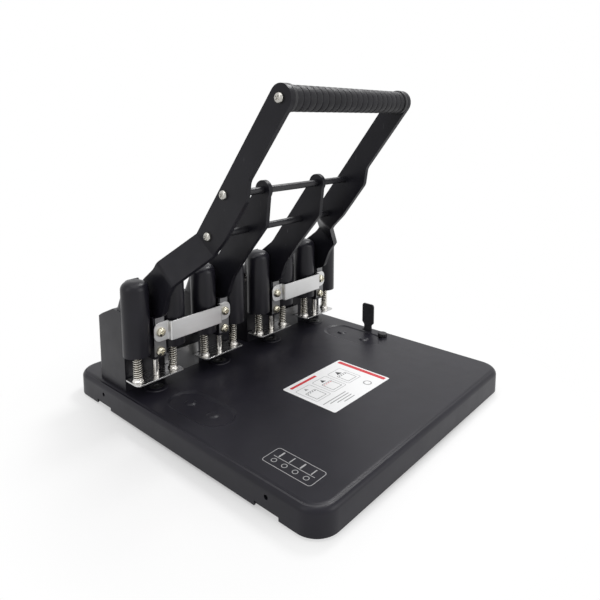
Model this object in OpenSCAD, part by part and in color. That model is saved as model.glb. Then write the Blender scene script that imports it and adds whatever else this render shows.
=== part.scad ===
// Four-hole punch: a pan-shaped table, four punch heads on the line of the holes
// and one lever on four arms that drives all four punches together.
// Millimetres. The origin is on the floor under the middle of the table,
// +X to the user's right, +Y away from the user and +Z up.

/* [Base pan] */
// Distance from the outermost holes to the table's sides
side_margin = 33; // [32:0.5:50]
// Depth of the table from front to back
pan_depth = 336; // [320:1:380]
// Corner radius of the table in plan
pan_corner = 21; // [16:1:28]
// Height of the upright skirt round the table
skirt_height = 20; // [18:0.5:26]
// Rise of the table top above the skirt's shoulder
shoulder_rise = 3; // [2:0.5:5]
// Width of the shoulder between the skirt and the table top
shoulder_inset = 6; // [5:0.5:9]
// Wall thickness of the pan
pan_wall = 1.8; // [1.2:0.1:2.4]
// Height of the rubber feet below the skirt
foot_height = 2.5; // [1.5:0.5:5]
// Diameter of a rubber foot
foot_diameter = 16; // [10:1:18]
// Wall thickness of the chip tray
tray_wall = 1.6; // [1.2:0.1:2.4]

/* [Punching] */
// Distance between neighbouring holes
hole_pitch = 80; // [76:1:84]
// Place of the row of holes behind the middle of the table
punch_y = 68; // [60:1:76]
// Distance from the row of holes to the edge of the paper
edge_margin = 12; // [10:0.5:14]
// Height of the slot that the paper goes into
paper_gap = 11.5; // [8:0.5:14]
// Diameter of a punch pin
pin_diameter = 6; // [5:0.5:7]
// Thickness of the stripper plates
plate_thick = 1.5; // [1:0.1:2.5]
// How far a punch goes into its die
die_entry = 3; // [2:0.5:5]

/* [Punch heads] */
// Distance from a punch to each of its two guide posts
post_offset = 20; // [19:0.5:22]
// Diameter of a guide post
post_diameter = 6; // [5:0.5:6.5]
// Radius of a column of the casting
column_radius = 13; // [12.5:0.5:13.5]
// Height of the columns' lower end above the table
column_base = 40; // [36:0.5:44]
// Height of the columns' round top above the table
column_top = 112; // [108:1:120]
// Place of the casting's back face behind the row of holes
block_back = 64; // [60:1:72]
// Wire diameter of a return spring
spring_wire = 0.8; // [0.7:0.1:0.9]
// Outside diameter of a return spring
spring_outside = 8.8; // [8.6:0.1:9.6]
// Number of turns of a return spring
spring_turns = 12; // [8:1:12]

/* [Crossheads and straps] */
// Height of a crosshead's lower face above the table
crosshead_base = 32; // [30:0.5:34]
// Height of a crosshead's top face above the table
crosshead_top = 73; // [70:0.5:76]
// Width of the steel strip on a crosshead's front
strip_width = 13; // [12:0.2:14]
// Height of the straps that join two crossheads
strap_height = 19; // [16:0.5:21]
// Thickness of the straps' sheet
strap_thick = 1.5; // [1:0.1:2]
// How far a strap stands out between its two tabs
strap_step = 5.8; // [5:0.1:8]

/* [Lever] */
// Lean of the lever's arms towards the user at rest
lean = 37.5; // [32:0.5:42]
// Distance from the arms' pivot to the middle of their nose
pivot_reach = 26; // [25:0.5:28]
// Radius of the round nose that presses a crosshead down
nose_radius = 12.3; // [11:0.1:13]
// Thickness of the arms' plate
arm_thick = 5; // [4:0.5:6]
// Width of the handle over the outer faces of its arms
handle_width = 180; // [170:1:200]
// Distance from the pivot to the handle's grip
grip_height = 255; // [230:1:280]
// Diameter of the grip
grip_diameter = 22; // [20:0.5:26]
// Diameter of the two cross rods
rod_diameter = 7; // [6:0.5:9]
// Diameter of the pivot pins
pivot_diameter = 10; // [8:0.5:12]

/* [Side guide] */
// Height of the side guide's tab above the table
tab_height = 33; // [20:1:45]
// Width of the side guide's tab along the paper's edge
tab_width = 16.5; // [14:0.5:24]
// Distance from the tab's outer face to the table's right side
tab_inset = 9; // [9:0.5:14]
// How far the side guide slides inwards
guide_travel = 4; // [2:0.5:5]
// Diameter of the guide's lock knob
knob_diameter = 11; // [9:0.5:14]

/* [Hidden] */
$fn = 64;

// Clearances: a close fit of a pin in a bore, a running gap, and room round a moving piece
fit_gap = 0.06;
run_gap = 0.3;
room = 0.5;
// Past a face, so that a cut goes right through it
over = 1;

black_paint = "#26262a";
black_casting = "#2c2c30";
black_plastic = "#1b1b1d";
zinc = "#c9cacb";
dull_steel = "#77787b";
bright_steel = "#dcdcd8";
yellow_zinc = "#d9cf9f";

// The table's width comes from the row of holes and the margin at each end of it
hole_count = 4;
pan_width = (hole_count - 1) * hole_pitch + 2 * side_margin;

// Heights that the table and the paper slot set
skirt_bottom = foot_height;
shoulder_z = skirt_bottom + skirt_height;
table_z = shoulder_z + shoulder_rise;
table_under = table_z - pan_wall;
plate_under = table_z + paper_gap;
plate_top = plate_under + plate_thick;
tip_inset = 0.5;
stroke = paper_gap + tip_inset + die_entry;

// Table: inset of the top's edge, corner bosses for the feet, and embossed forms
table_inset = shoulder_inset + pan_wall;
boss_inset = 24;
boss_margin = 2;
boss_diameter = foot_diameter + boss_margin;
tray_gap = 0.4;
tray_height = 14;
notch_length = 25;
notch_height = 4;
notch_front = 51;
notch_back = 57;
notch_places = [notch_front - pan_depth / 2, pan_depth / 2 - notch_back];
snap_hole = 4;
snap_rise = 12.6;
die_pad_radius = 12;
die_pad_height = 0.8;
die_wall = 4;
die_outside = pin_diameter + 2 * die_wall;
die_flange = 2;
die_depth = 7;
emboss_depth = 0.9;
emboss_slope = 2;
emboss_inset = 37;
emboss_x = pan_width / 2 - emboss_inset;
emboss_y = 3;
emboss_half_width = 19;
emboss_half_length = 39;
button_radius = 4.5;
button_reach = 16.3;
button_rise = 0.8;

// Casting: its blocks, slots and bores
cheek_half = post_offset + column_radius;
slot_half = post_offset - column_radius;
stop_thick = 1.5;
block_front = punch_y + edge_margin + stop_thick;
block_rear = punch_y + block_back;
side_undercut = 7.5;
block_half = cheek_half - side_undercut;
casting_corner = 7;
column_low = table_z + column_base;
column_high = table_z + column_top;
dome_z = column_high - column_radius;
dome_corner = 7.5;
dome_crown = 2.5;
crown_radius = 12;
crown_share = 0.4;
shelf_start = 18;
shelf_height = 79;
shelf_end = 12;
shelf_low = 69.7;
shelf_front = [block_front + shelf_start, table_z + shelf_height];
shelf_back = [block_rear - shelf_end, table_z + shelf_low];
shelf_drop = 7;
// Ridge that slopes back from the columns' tops to the shelf
ridge_angle = 27.3;
ridge_offset = 17.3;
ridge_rise = 3;
ridge_corner = 7;
ridge_half = block_half - room;
ridge_length = (column_top - column_base) / 2;
ridge_foot = [punch_y + (dome_z - shelf_front.y) * tan(ridge_angle), shelf_front.y];
column_wall = 3;
hollow_radius = column_radius - column_wall;
arm_slot_depth = 36;
arm_slot_rear = punch_y + arm_slot_depth;
post_entry = 2;
post_top = dome_z + post_entry;
nut_height = 4;
nut_flange = 5.4;
nut_collar = 4.4;
nut_lip = 1;
bolt_diameter = 5;
bolt_head = 9;
bolt_head_height = 4;
bolt_length = 14;
bolt_x = 15;
bolt_inset = 27;
bolt_y = block_front + bolt_inset;

// Stripper plate: its front edge and its tongue into the casting
plate_margin = 6.5;
plate_half = post_offset + plate_margin;
plate_reach = 10.5;
plate_front = punch_y - plate_reach;
tongue_half = 18;
tongue_length = 10;
plate_corner = 6;

// Crosshead: centre block, tower under the lever's nose, wings and bosses on the posts
head_half = slot_half - room;
head_half_depth = 8;
head_front = punch_y - head_half_depth;
head_rear = punch_y + head_half_depth;
tower_depth = 6;
head_low = table_z + crosshead_base;
head_high = table_z + crosshead_top;
wing_rise = 11.5;
wing_height = 13;
wing_low = head_low + wing_rise;
wing_high = wing_low + wing_height;
wing_half = 5.5;
boss_room = 2;
head_boss_radius = hollow_radius - boss_room;
strip_thick = 1.2;
strip_narrow = 10;
strip_rise = 3;
strip_low = head_low + strip_rise;
strap_drop = 14;
strap_z = head_high - strap_drop;
pin_screw_rise = 7.5;
pin_screw_z = head_low + pin_screw_rise;
pin_socket = 22;
pin_seat = head_low + pin_socket;
pin_tip = plate_under + tip_inset;
screw_head = 9.2;
screw_head_height = 3.4;
screw_shank = 4;
tab_reach = 7.4;
tab_corner = tab_reach * 0.9;
step_at = 8;
strap_front = head_front - strip_thick - strap_thick;

// Lever: the nose stands half a stroke above the pivot at rest and half below it at the end
nose_y = head_front;
nose_z = head_high + run_gap + nose_radius;
pivot_y = nose_y + pivot_reach;
pivot_z = nose_z - stroke / 2;
lever_range = 2 * atan(stroke / 2 / pivot_reach);
nose_across = -pivot_reach * cos(lean) + stroke / 2 * sin(lean);
nose_along = pivot_reach * sin(lean) + stroke / 2 * cos(lean);
hub_radius = 9;
boss_radius = 13;
outer_low_x = 1.5 * hole_pitch;
inner_x = hole_pitch / 2;
outer_high_x = handle_width / 2 - arm_thick / 2;
back_edge = 7.2;
front_edge = -23;
rod_edge = -25.4;
grip_edge = -16.6;
grip_across = (back_edge + grip_edge) / 2;
grip_end_radius = (back_edge - grip_edge) / 2;
bend_low = 56;
bend_high = 88;
bend_tail = 6;
upper_rod_at = [-0.7, 146.2];
inner_eye = 9.5;
lower_rod_at = [-7.1, 98.9];
rod_shoulder = [grip_edge, 176];
rod_knee = [rod_edge, 160];
rod_heel = [rod_edge, 112];
core_diameter = 10;
collar_diameter = grip_diameter + 2;
collar_length = 4;
rib_count = 20;
rib_depth = 0.9;
lever_screw_shank = 4;
lever_screw_length = 14;

// Springs: one round each post between its nut and the crosshead's boss
spring_low = plate_top + nut_height + run_gap + spring_wire / 2;
spring_high = wing_low - run_gap - spring_wire / 2;
spring_radius = (spring_outside - spring_wire) / 2;
rings_per_turn = 8;
tube_sides = 6;

// Side guide
tab_thick = 2;
tab_neck = 3;
tab_neck_height = 6;
tab_middle = -1;
guide_sheet = 2;
guide_z = table_under - run_gap - guide_sheet;
tab_x = pan_width / 2 - tab_inset;
knob_inset = 8;
knob_x = tab_x - knob_inset;
knob_y = -27;
knob_height = 4;
knob_stem = 4;

// Place of a punch head along the row, 1 to 4 from the user's left
function unit_x(i) = (i - 2.5) * hole_pitch;

function direction(v) = v / norm(v);

// Arc that rounds the corner at b between a and c, tangent to both edges
function corner_arc(a, b, c, r, steps = 6) =
    let (u = direction(a - b))
    let (v = direction(c - b))
    let (half = acos(u * v) / 2)
    let (middle = b + direction(u + v) * r / sin(half))
    let (first = b + u * r / tan(half) - middle)
    let (last = b + v * r / tan(half) - middle)
    let (from = atan2(first.y, first.x))
    let (turn = ((atan2(last.y, last.x) - from + 900) % 360) - 180)
    [for (k = [0 : steps]) middle + r * [cos(from + turn * k / steps), sin(from + turn * k / steps)]];

// Outline through corners [x, y, radius], each rounded by its own radius
function rounded(corners) =
    let (n = len(corners))
    let (flat = [for (p = corners) [p.x, p.y]])
    [for (i = [0 : n - 1])
        each corners[i].z == 0
            ? [flat[i]]
            : corner_arc(flat[(i + n - 1) % n], flat[i], flat[(i + 1) % n], corners[i].z)];

// Carries an outline drawn in Y and Z along X
module across_x(x0, x1) {
    translate([x0, 0, 0]) rotate([90, 0, 90]) linear_extrude(height = x1 - x0) children();
}

// Carries an outline drawn in X and Z along Y
module along_y(y0, y1) {
    translate([0, y1, 0]) rotate([90, 0, 0]) linear_extrude(height = y1 - y0) children();
}

// Carries an outline drawn in X and Y upwards
module upwards(z0, z1) {
    translate([0, 0, z0]) linear_extrude(height = z1 - z0) children();
}

module rod_x(y, z, x0, x1, diameter) {
    translate([x0, y, z]) rotate([0, 90, 0]) cylinder(d = diameter, h = x1 - x0);
}

module rod_y(x, z, y0, y1, diameter) {
    translate([x, y1, z]) rotate([90, 0, 0]) cylinder(d = diameter, h = y1 - y0);
}

module rod_z(x, y, z0, z1, diameter) {
    translate([x, y, z0]) cylinder(d = diameter, h = z1 - z0);
}

module block(x0, x1, y0, y1, z0, z1) {
    translate([x0, y0, z0]) cube([x1 - x0, y1 - y0, z1 - z0]);
}

module rounded_plan(width, depth, radius) {
    square([width - 2 * radius, depth], center = true);
    square([width, depth - 2 * radius], center = true);
    for (x = [-1, 1], y = [-1, 1])
        translate([x * (width / 2 - radius), y * (depth / 2 - radius)]) circle(r = radius);
}

// Pan-head screw with a cross recess; the head's seat is at the origin and faces up
module pan_screw(head, height, shank, length) {
    cap = height * 0.75;
    slot = head * 0.11;
    reach = head * 0.27;
    sink = height * 0.25;
    difference() {
        rotate_extrude()
            polygon(rounded([[0, 0, 0], [head / 2, 0, 0], [head / 2, height, cap], [0, height, 0]]));
        for (turn = [0, 90])
            rotate(turn) translate([-reach, -slot / 2, height - sink]) cube([2 * reach, slot, sink + over]);
    }
    translate([0, 0, -length]) cylinder(d = shank, h = length);
}

// Rim of the pan as a section from the corner's centre outwards
module rim_section() {
    edge = 2.6;
    polygon(concat(
        [[0, 0], [pan_corner, 0]],
        corner_arc([pan_corner, 0], [pan_corner, skirt_height],
            [pan_corner - shoulder_inset, skirt_height], edge),
        corner_arc([pan_corner, skirt_height], [pan_corner - shoulder_inset + 1.6, skirt_height],
            [pan_corner - shoulder_inset, skirt_height + shoulder_rise], 1),
        corner_arc([pan_corner - shoulder_inset + 1.6, skirt_height],
            [pan_corner - shoulder_inset, skirt_height + shoulder_rise],
            [0, skirt_height + shoulder_rise], 1),
        [[0, skirt_height + shoulder_rise]]
    ));
}

module pan_solid() {
    half_x = pan_width / 2 - pan_corner;
    half_y = pan_depth / 2 - pan_corner;
    block(-half_x, half_x, -half_y, half_y, 0, skirt_height + shoulder_rise);
    for (side = [0, 1]) {
        rotate(180 * side) across_x(-half_x, half_x) translate([half_y, 0]) rim_section();
        rotate(180 * side) mirror([1, -1, 0]) across_x(-half_y, half_y)
            translate([half_x, 0]) rim_section();
    }
    for (corner = [[1, 1, 0], [-1, 1, 90], [-1, -1, 180], [1, -1, 270]])
        translate([corner.x * half_x, corner.y * half_y, 0]) rotate(corner.z)
            rotate_extrude(angle = 90) rim_section();
}

module at_feet() {
    for (x = [-1, 1], y = [-1, 1])
        translate([x * (pan_width / 2 - boss_inset), y * (pan_depth / 2 - boss_inset), 0]) children();
}

// Sunk field with round ends and sloping sides, cut up past the table's top
module sunk_field() {
    reach = emboss_half_length - emboss_half_width;
    low = emboss_half_width - emboss_slope;
    high = emboss_half_width + over * emboss_slope / emboss_depth;
    for (y = [-reach, reach])
        translate([0, y, table_z - emboss_depth]) cylinder(r1 = low, r2 = high, h = emboss_depth + over);
    along_y(-reach, reach)
        polygon([[-low, table_z - emboss_depth], [low, table_z - emboss_depth],
            [high, table_z + over], [-high, table_z + over]]);
}

// Button in the sunk field, lower than the table's top
module button() {
    rotate_extrude()
        polygon([[0, -emboss_depth / 2], [button_radius, -emboss_depth / 2], [button_radius, 0],
            [button_radius - button_rise, button_rise], [0, button_rise]]);
}

module die_pad() {
    rotate_extrude()
        polygon([[0, -over], [die_pad_radius, -over], [die_pad_radius, 0],
            [die_pad_radius - die_pad_height, die_pad_height], [0, die_pad_height]]);
}

module base_pan() color(black_paint) {
    difference() {
        union() {
            translate([0, 0, skirt_bottom]) pan_solid();
            for (i = [1 : 4])
                translate([unit_x(i), punch_y, table_z]) die_pad();
        }
        upwards(skirt_bottom - over, shoulder_z - pan_wall)
            rounded_plan(pan_width - 2 * pan_wall, pan_depth - 2 * pan_wall, pan_corner - pan_wall);
        upwards(shoulder_z - pan_wall - over, table_under)
            rounded_plan(pan_width - 2 * table_inset, pan_depth - 2 * table_inset,
                pan_corner - table_inset);
        for (i = [1 : 4]) {
            rod_z(unit_x(i), punch_y, table_under - over, table_z + over, die_outside + 2 * fit_gap);
            for (x = [-bolt_x, bolt_x])
                rod_z(unit_x(i) + x, bolt_y, table_under - over, table_z + over,
                    bolt_diameter + 2 * run_gap);
        }
        for (x = [-1, 1])
            translate([x * emboss_x, emboss_y, 0]) sunk_field();
        for (y = notch_places) {
            block(-pan_width / 2 - over, pan_width / 2 + over,
                y - notch_length / 2, y + notch_length / 2,
                skirt_bottom - over, skirt_bottom + notch_height);
            rod_x(y, skirt_bottom + snap_rise, -pan_width / 2 - over, pan_width / 2 + over, snap_hole);
        }
        guide_cuts();
    }
    for (x = [-1, 1], y = [-1, 1])
        translate([x * emboss_x, emboss_y + y * button_reach, table_z - emboss_depth]) button();
    at_feet() rod_z(0, 0, skirt_bottom, table_under + pan_wall / 2, boss_diameter);
}

// Slots in the table for the side guide's tab and for the stem of its knob
module guide_cuts() {
    neck = tab_width - 2 * tab_neck;
    block(tab_x - tab_thick - guide_travel - room, tab_x + room,
        tab_middle - neck / 2 - room, tab_middle + neck / 2 + room, table_under - over, table_z + over);
    upwards(table_under - over, table_z + over) {
        translate([knob_x - guide_travel, knob_y - knob_stem / 2 - run_gap])
            square([guide_travel, knob_stem + 2 * run_gap]);
        for (x = [knob_x - guide_travel, knob_x])
            translate([x, knob_y]) circle(d = knob_stem + 2 * run_gap);
    }
}

module chip_tray() color(black_plastic) {
    inset = 2 * (pan_wall + tray_gap);
    corner = pan_corner - pan_wall - tray_gap;
    low = skirt_bottom + tray_gap;
    hole = boss_diameter / 2 + room;
    difference() {
        union() {
            difference() {
                upwards(low, low + tray_height)
                    rounded_plan(pan_width - inset, pan_depth - inset, corner);
                upwards(low + tray_wall, low + tray_height + over)
                    rounded_plan(pan_width - inset - 2 * tray_wall, pan_depth - inset - 2 * tray_wall,
                        corner - tray_wall);
            }
            at_feet() rod_z(0, 0, low, low + tray_height, 2 * (hole + tray_wall));
        }
        at_feet() rod_z(0, 0, low - over, low + tray_height + over, 2 * hole);
    }
}

module rubber_feet() color(black_plastic) {
    at_feet() rotate_extrude()
        polygon([[0, 0], [foot_diameter / 2 - 1, 0], [foot_diameter / 2, 1],
            [foot_diameter / 2, foot_height], [0, foot_height]]);
}

module die_bushes() color(dull_steel) {
    for (i = [1 : 4])
        translate([unit_x(i), punch_y, 0]) difference() {
            union() {
                rod_z(0, 0, table_z - die_depth, table_z + die_pad_height, die_outside);
                rod_z(0, 0, table_z - die_depth, table_under, die_outside + 2 * die_flange);
            }
            rod_z(0, 0, table_z - die_depth - over, table_z + die_pad_height + over,
                pin_diameter + 2 * run_gap);
        }
}

// Section of the casting's block and of the webs that join it to the columns
module block_section() {
    polygon(rounded([
        [block_front, table_z, 0], [block_front, column_low, 0], [punch_y, column_low, 0],
        [punch_y, dome_z, 0], [ridge_foot.x, ridge_foot.y, 0],
        [shelf_front.x, shelf_front.y, 0], [shelf_back.x, shelf_back.y, 16],
        [block_rear, shelf_back.y - shelf_drop, 6], [block_rear, table_z, 0]
    ]));
}

// Plan of the block with its two rear edges rounded
module block_plan() {
    translate([-block_half, punch_y - over])
        square([2 * block_half, block_rear - punch_y - casting_corner + over]);
    translate([-block_half + casting_corner, punch_y])
        square([2 * (block_half - casting_corner), block_rear - punch_y]);
    for (x = [-1, 1])
        translate([x * (block_half - casting_corner), block_rear - casting_corner])
            circle(r = casting_corner);
}

// Round column with a low crown and a rounded edge round it
module column() {
    rotate_extrude() polygon(rounded([
        [0, column_low, 0], [column_radius, column_low, 0],
        [column_radius, column_high - dome_crown, dome_corner],
        [column_radius * crown_share, column_high, crown_radius], [0, column_high, 0]
    ]));
}

module casting_solid() {
    intersection() {
        across_x(-block_half, block_half) block_section();
        upwards(table_z, column_high) block_plan();
    }
    translate([0, punch_y, dome_z]) rotate([180 + ridge_angle, 0, 0]) translate([0, 0, -ridge_rise])
        linear_extrude(height = ridge_length + ridge_rise) polygon(rounded([
            [-ridge_half, over, 0], [-ridge_half, -ridge_offset, ridge_corner],
            [ridge_half, -ridge_offset, ridge_corner], [ridge_half, over, 0]
        ]));
    for (x = [-1, 1])
        translate([x * post_offset, punch_y, 0]) column();
}

module punch_housing(i) color(black_casting) translate([unit_x(i), 0, 0]) difference() {
    casting_solid();
    translate([-unit_x(i), 0, 0]) at_stop_screws() flush_screw(fit_gap);
    block(-slot_half, slot_half, punch_y - column_radius - over, arm_slot_rear,
        column_low, column_high + over);
    for (x = [-1, 1]) {
        translate([x * post_offset, punch_y, 0]) {
            rod_z(0, 0, column_low - over, wing_high + room, 2 * hollow_radius);
            rod_z(0, 0, column_low, post_top, post_diameter + 2 * fit_gap);
        }
        block(min(0, x * post_offset), max(0, x * post_offset),
            punch_y - wing_half - 2 * room, punch_y + wing_half + 2 * room,
            column_low - over, wing_high + room);
        rod_z(x * bolt_x, bolt_y, table_z - over, table_z + bolt_length - pan_wall + room,
            bolt_diameter + 2 * fit_gap);
    }
    pivot_bore(i);
    block(-tongue_half - fit_gap, tongue_half + fit_gap,
        block_front - over, block_front + tongue_length + fit_gap, plate_under, plate_top);
}

// The pivot's bore is blind on the side that faces away from the middle of the row
function pivot_side(i) = i < 2.5 ? 1 : -1;
pivot_wall = 4;
pivot_blind = block_half - pivot_wall;

module pivot_bore(i) {
    side = pivot_side(i);
    rod_x(pivot_y, pivot_z, side > 0 ? -pivot_blind : -block_half - over,
        side > 0 ? block_half + over : pivot_blind, pivot_diameter + 2 * fit_gap);
}

module pivot_pin(i) color(bright_steel) translate([unit_x(i), 0, 0]) {
    rod_x(pivot_y, pivot_z, -pivot_blind, pivot_blind, pivot_diameter);
}

module stripper_plate(i) color(zinc) translate([unit_x(i), 0, 0]) difference() {
    upwards(plate_under, plate_top) {
        polygon(rounded([
            [-plate_half, plate_front, plate_corner], [plate_half, plate_front, plate_corner / 2],
            [plate_half, block_front - stop_thick - room, 1],
            [-plate_half, block_front - stop_thick - room, 1]
        ]));
        translate([-tongue_half, block_front - stop_thick - over])
            square([2 * tongue_half, stop_thick + over + tongue_length]);
    }
    rod_z(0, punch_y, plate_under - over, plate_top + over, pin_diameter + 2 * run_gap);
    for (x = [-post_offset, post_offset])
        rod_z(x, punch_y, plate_under - over, plate_top + over, post_diameter + 2 * fit_gap);
}

module guide_posts(i) color(bright_steel) translate([unit_x(i), 0, 0]) {
    for (x = [-post_offset, post_offset])
        rod_z(x, punch_y, plate_under, post_top, post_diameter);
}

module post_nuts() color(bright_steel) {
    for (i = [1 : 4], x = [-post_offset, post_offset])
        translate([unit_x(i) + x, punch_y, plate_top]) rotate_extrude() polygon([
            [post_diameter / 2 + fit_gap, 0], [nut_flange, 0], [nut_flange, nut_lip],
            [nut_collar, 2 * nut_lip], [nut_collar, nut_height], [post_diameter / 2 + fit_gap, nut_height]
        ]);
}

module housing_bolts() color(dull_steel) {
    for (i = [1 : 4], x = [-bolt_x, bolt_x])
        translate([unit_x(i) + x, bolt_y, table_under]) {
            translate([0, 0, -bolt_head_height]) cylinder(d = bolt_head, h = bolt_head_height, $fn = 6);
            cylinder(d = bolt_diameter, h = bolt_length);
        }
}

// Back stop for the paper's edge between two castings, screwed to their fronts
stop_reach = hole_pitch / 2 - tongue_half - room;
stop_height = 24;
stop_screw_inset = 4;
stop_screw_x = hole_pitch / 2 - block_half + stop_screw_inset;
stop_screw_rise = 5.25;
stop_screw_z = table_z + stop_screw_rise;
stop_screw = 3;
stop_screw_length = 9;

// Countersunk screw through a stop of a given thickness, drawn along Y from its head's face
module flush_screw(grow) {
    rotate([-90, 0, 0]) rotate_extrude()
        polygon([[0, -grow], [stop_screw / 2 + stop_thick + grow, -grow],
            [stop_screw / 2 + stop_thick + grow, 0],
            [stop_screw / 2 + grow, stop_thick], [stop_screw / 2 + grow, stop_screw_length + grow],
            [0, stop_screw_length + grow]]);
}

module at_stop_screws() {
    for (side = [-1, 1], x = [-stop_screw_x, stop_screw_x])
        translate([side * hole_pitch + x, block_front - stop_thick, stop_screw_z]) children();
}

module paper_stop(side) color(dull_steel) difference() {
    translate([side * hole_pitch, 0, 0])
        block(-stop_reach, stop_reach, block_front - stop_thick, block_front,
            table_z, table_z + stop_height);
    at_stop_screws() flush_screw(fit_gap);
}

module stop_screws() color(dull_steel) {
    at_stop_screws() flush_screw(0);
}

module side_guide() color(black_paint) {
    neck = tab_width - 2 * tab_neck;
    difference() {
        union() {
            across_x(tab_x - tab_thick, tab_x) translate([tab_middle, 0]) polygon(rounded([
                [-neck / 2, guide_z, 0], [neck / 2, guide_z, 0], [neck / 2, table_z + tab_neck_height, 2],
                [tab_width / 2, table_z + tab_neck_height + tab_neck, 2],
                [tab_width / 2, table_z + tab_height, 3], [-tab_width / 2, table_z + tab_height, 3],
                [-tab_width / 2, table_z + tab_neck_height + tab_neck, 2],
                [-neck / 2, table_z + tab_neck_height, 2]
            ]));
            block(knob_x - knob_diameter, tab_x, knob_y - knob_diameter / 2 - 2, tab_middle + neck / 2,
                guide_z, guide_z + guide_sheet);
        }
        rod_z(knob_x, knob_y, guide_z - over, guide_z + guide_sheet + over, knob_stem + 2 * fit_gap);
    }
}

module guide_knob() color(black_plastic) translate([knob_x, knob_y, 0]) {
    grips = 12;
    groove = 1.4;
    difference() {
        translate([0, 0, table_z + run_gap]) rotate_extrude()
            polygon(rounded([[0, 0, 0], [knob_diameter / 2, 0, 0], [knob_diameter / 2, knob_height, 1.2],
                [0, knob_height, 0]]));
        for (k = [0 : grips - 1])
            rotate(k * 360 / grips)
                rod_z(knob_diameter / 2 + run_gap, 0, table_z, table_z + knob_height + over, groove);
    }
    rod_z(0, 0, guide_z - 1, table_z + run_gap + over, knob_stem);
    rod_z(0, 0, guide_z - run_gap - 2, guide_z - run_gap, knob_stem + 4);
}

// Lever frame: Y runs across the arms towards the back and Z runs up along them
module lever_frame() {
    translate([0, pivot_y, pivot_z]) rotate([lean, 0, 0]) children();
}

// Lower end of every arm: round nose, pivot eye and the plate above them, up to a given height
module arm_foot(x, top) {
    across_x(x - arm_thick / 2, x + arm_thick / 2) {
        circle(r = boss_radius);
        translate([nose_across, nose_along]) circle(r = nose_radius);
        polygon(rounded([
            [0, 0, 0], [boss_radius, 0, 0], [boss_radius + 0.4, 26, 12], [back_edge, bend_low - 8, 30],
            [back_edge, top, 0], [front_edge, top, 0], [front_edge, bend_low - 14, 30],
            [nose_across - nose_radius, nose_along, 0], [nose_across, nose_along, 0]
        ]));
    }
    rod_x(0, 0, x - head_half, x + head_half, 2 * hub_radius);
}

module arm_bores(x) {
    rod_x(0, 0, x - head_half - over, x + head_half + over, pivot_diameter + 2 * fit_gap);
}

// Inner arms are flat and end in a round eye at the upper rod
module lever_arm_inner(side) color(black_paint) lever_frame() {
    x = side * inner_x;
    difference() {
        union() {
            arm_foot(x, bend_low);
            across_x(x - arm_thick / 2, x + arm_thick / 2) {
                translate(upper_rod_at) circle(r = inner_eye);
                polygon(rounded([
                    [back_edge, bend_low - over, 0], [back_edge, upper_rod_at.y, 0],
                    [upper_rod_at.x - inner_eye, upper_rod_at.y, 0], [rod_edge, rod_heel.y + 9, 8],
                    [front_edge, bend_low + 20, 30], [front_edge, bend_low - over, 0]
                ]));
            }
        }
        arm_bores(x);
        for (at = [upper_rod_at, lower_rod_at])
            rod_x(at.x, at.y, x - arm_thick, x + arm_thick, rod_diameter + 2 * fit_gap);
    }
}

// Joggle of an outer arm: a Z-bent strip that takes the plate inwards above the heads
module joggle(side) {
    low = side * outer_low_x;
    high = side * outer_high_x;
    slant = direction([high - low, bend_high - bend_low]);
    flank = direction([1, 0] + [slant.y, -slant.x]);
    half = arm_thick / 2 / flank.x;
    inner_bend = 2;
    outer_bend = inner_bend + arm_thick;
    first = side > 0 ? inner_bend : outer_bend;
    last = side > 0 ? outer_bend : inner_bend;
    along_y(front_edge, back_edge) polygon(rounded([
        [low - arm_thick / 2, bend_low - bend_tail, 0],
        [low - half * flank.x, bend_low - half * flank.y, first],
        [high - half * flank.x, bend_high - half * flank.y, last],
        [high - arm_thick / 2, bend_high + bend_tail, 0],
        [high + arm_thick / 2, bend_high + bend_tail, 0],
        [high + half * flank.x, bend_high + half * flank.y, first],
        [low + half * flank.x, bend_low + half * flank.y, last],
        [low + arm_thick / 2, bend_low - bend_tail, 0]
    ]));
}

// Outer arms are bent inwards above the heads and carry the grip at their upper ends
module lever_arm_outer(side) color(black_paint) lever_frame() {
    low = side * outer_low_x;
    high = side * outer_high_x;
    difference() {
        union() {
            arm_foot(low, bend_low - bend_tail + over);
            joggle(side);
            across_x(high - arm_thick / 2, high + arm_thick / 2) {
                translate([grip_across, grip_height]) circle(r = grip_end_radius);
                polygon(rounded([
                    [back_edge, bend_high + bend_tail - over, 0], [back_edge, grip_height, 0],
                    [grip_edge, grip_height, 0], [rod_shoulder.x, rod_shoulder.y, 12],
                    [rod_knee.x, rod_knee.y, 12], [rod_heel.x, rod_heel.y, 30],
                    [front_edge, bend_high + bend_tail, 0], [front_edge, bend_high + bend_tail - over, 0]
                ]));
            }
        }
        arm_bores(low);
        for (at = [upper_rod_at, lower_rod_at, [grip_across, grip_height]])
            rod_x(at.x, at.y, high - arm_thick, high + arm_thick, lever_screw_shank + 2 * fit_gap);
    }
}

// A rod between the inner faces of the outer arms, drilled for a screw at each end
module cross_rod(at, diameter) {
    half = outer_high_x - arm_thick / 2;
    difference() {
        rod_x(at.x, at.y, -half, half, diameter);
        for (side = [-1, 1])
            rod_x(at.x, at.y, side > 0 ? half - lever_screw_length : -half - over,
                side > 0 ? half + over : -half + lever_screw_length, lever_screw_shank + 2 * fit_gap);
    }
}

module upper_rod() color(black_paint) lever_frame() cross_rod(upper_rod_at, rod_diameter);

module lower_rod() color(black_paint) lever_frame() cross_rod(lower_rod_at, rod_diameter);

module grip_core() color(dull_steel) lever_frame() cross_rod([grip_across, grip_height], core_diameter);

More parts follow.
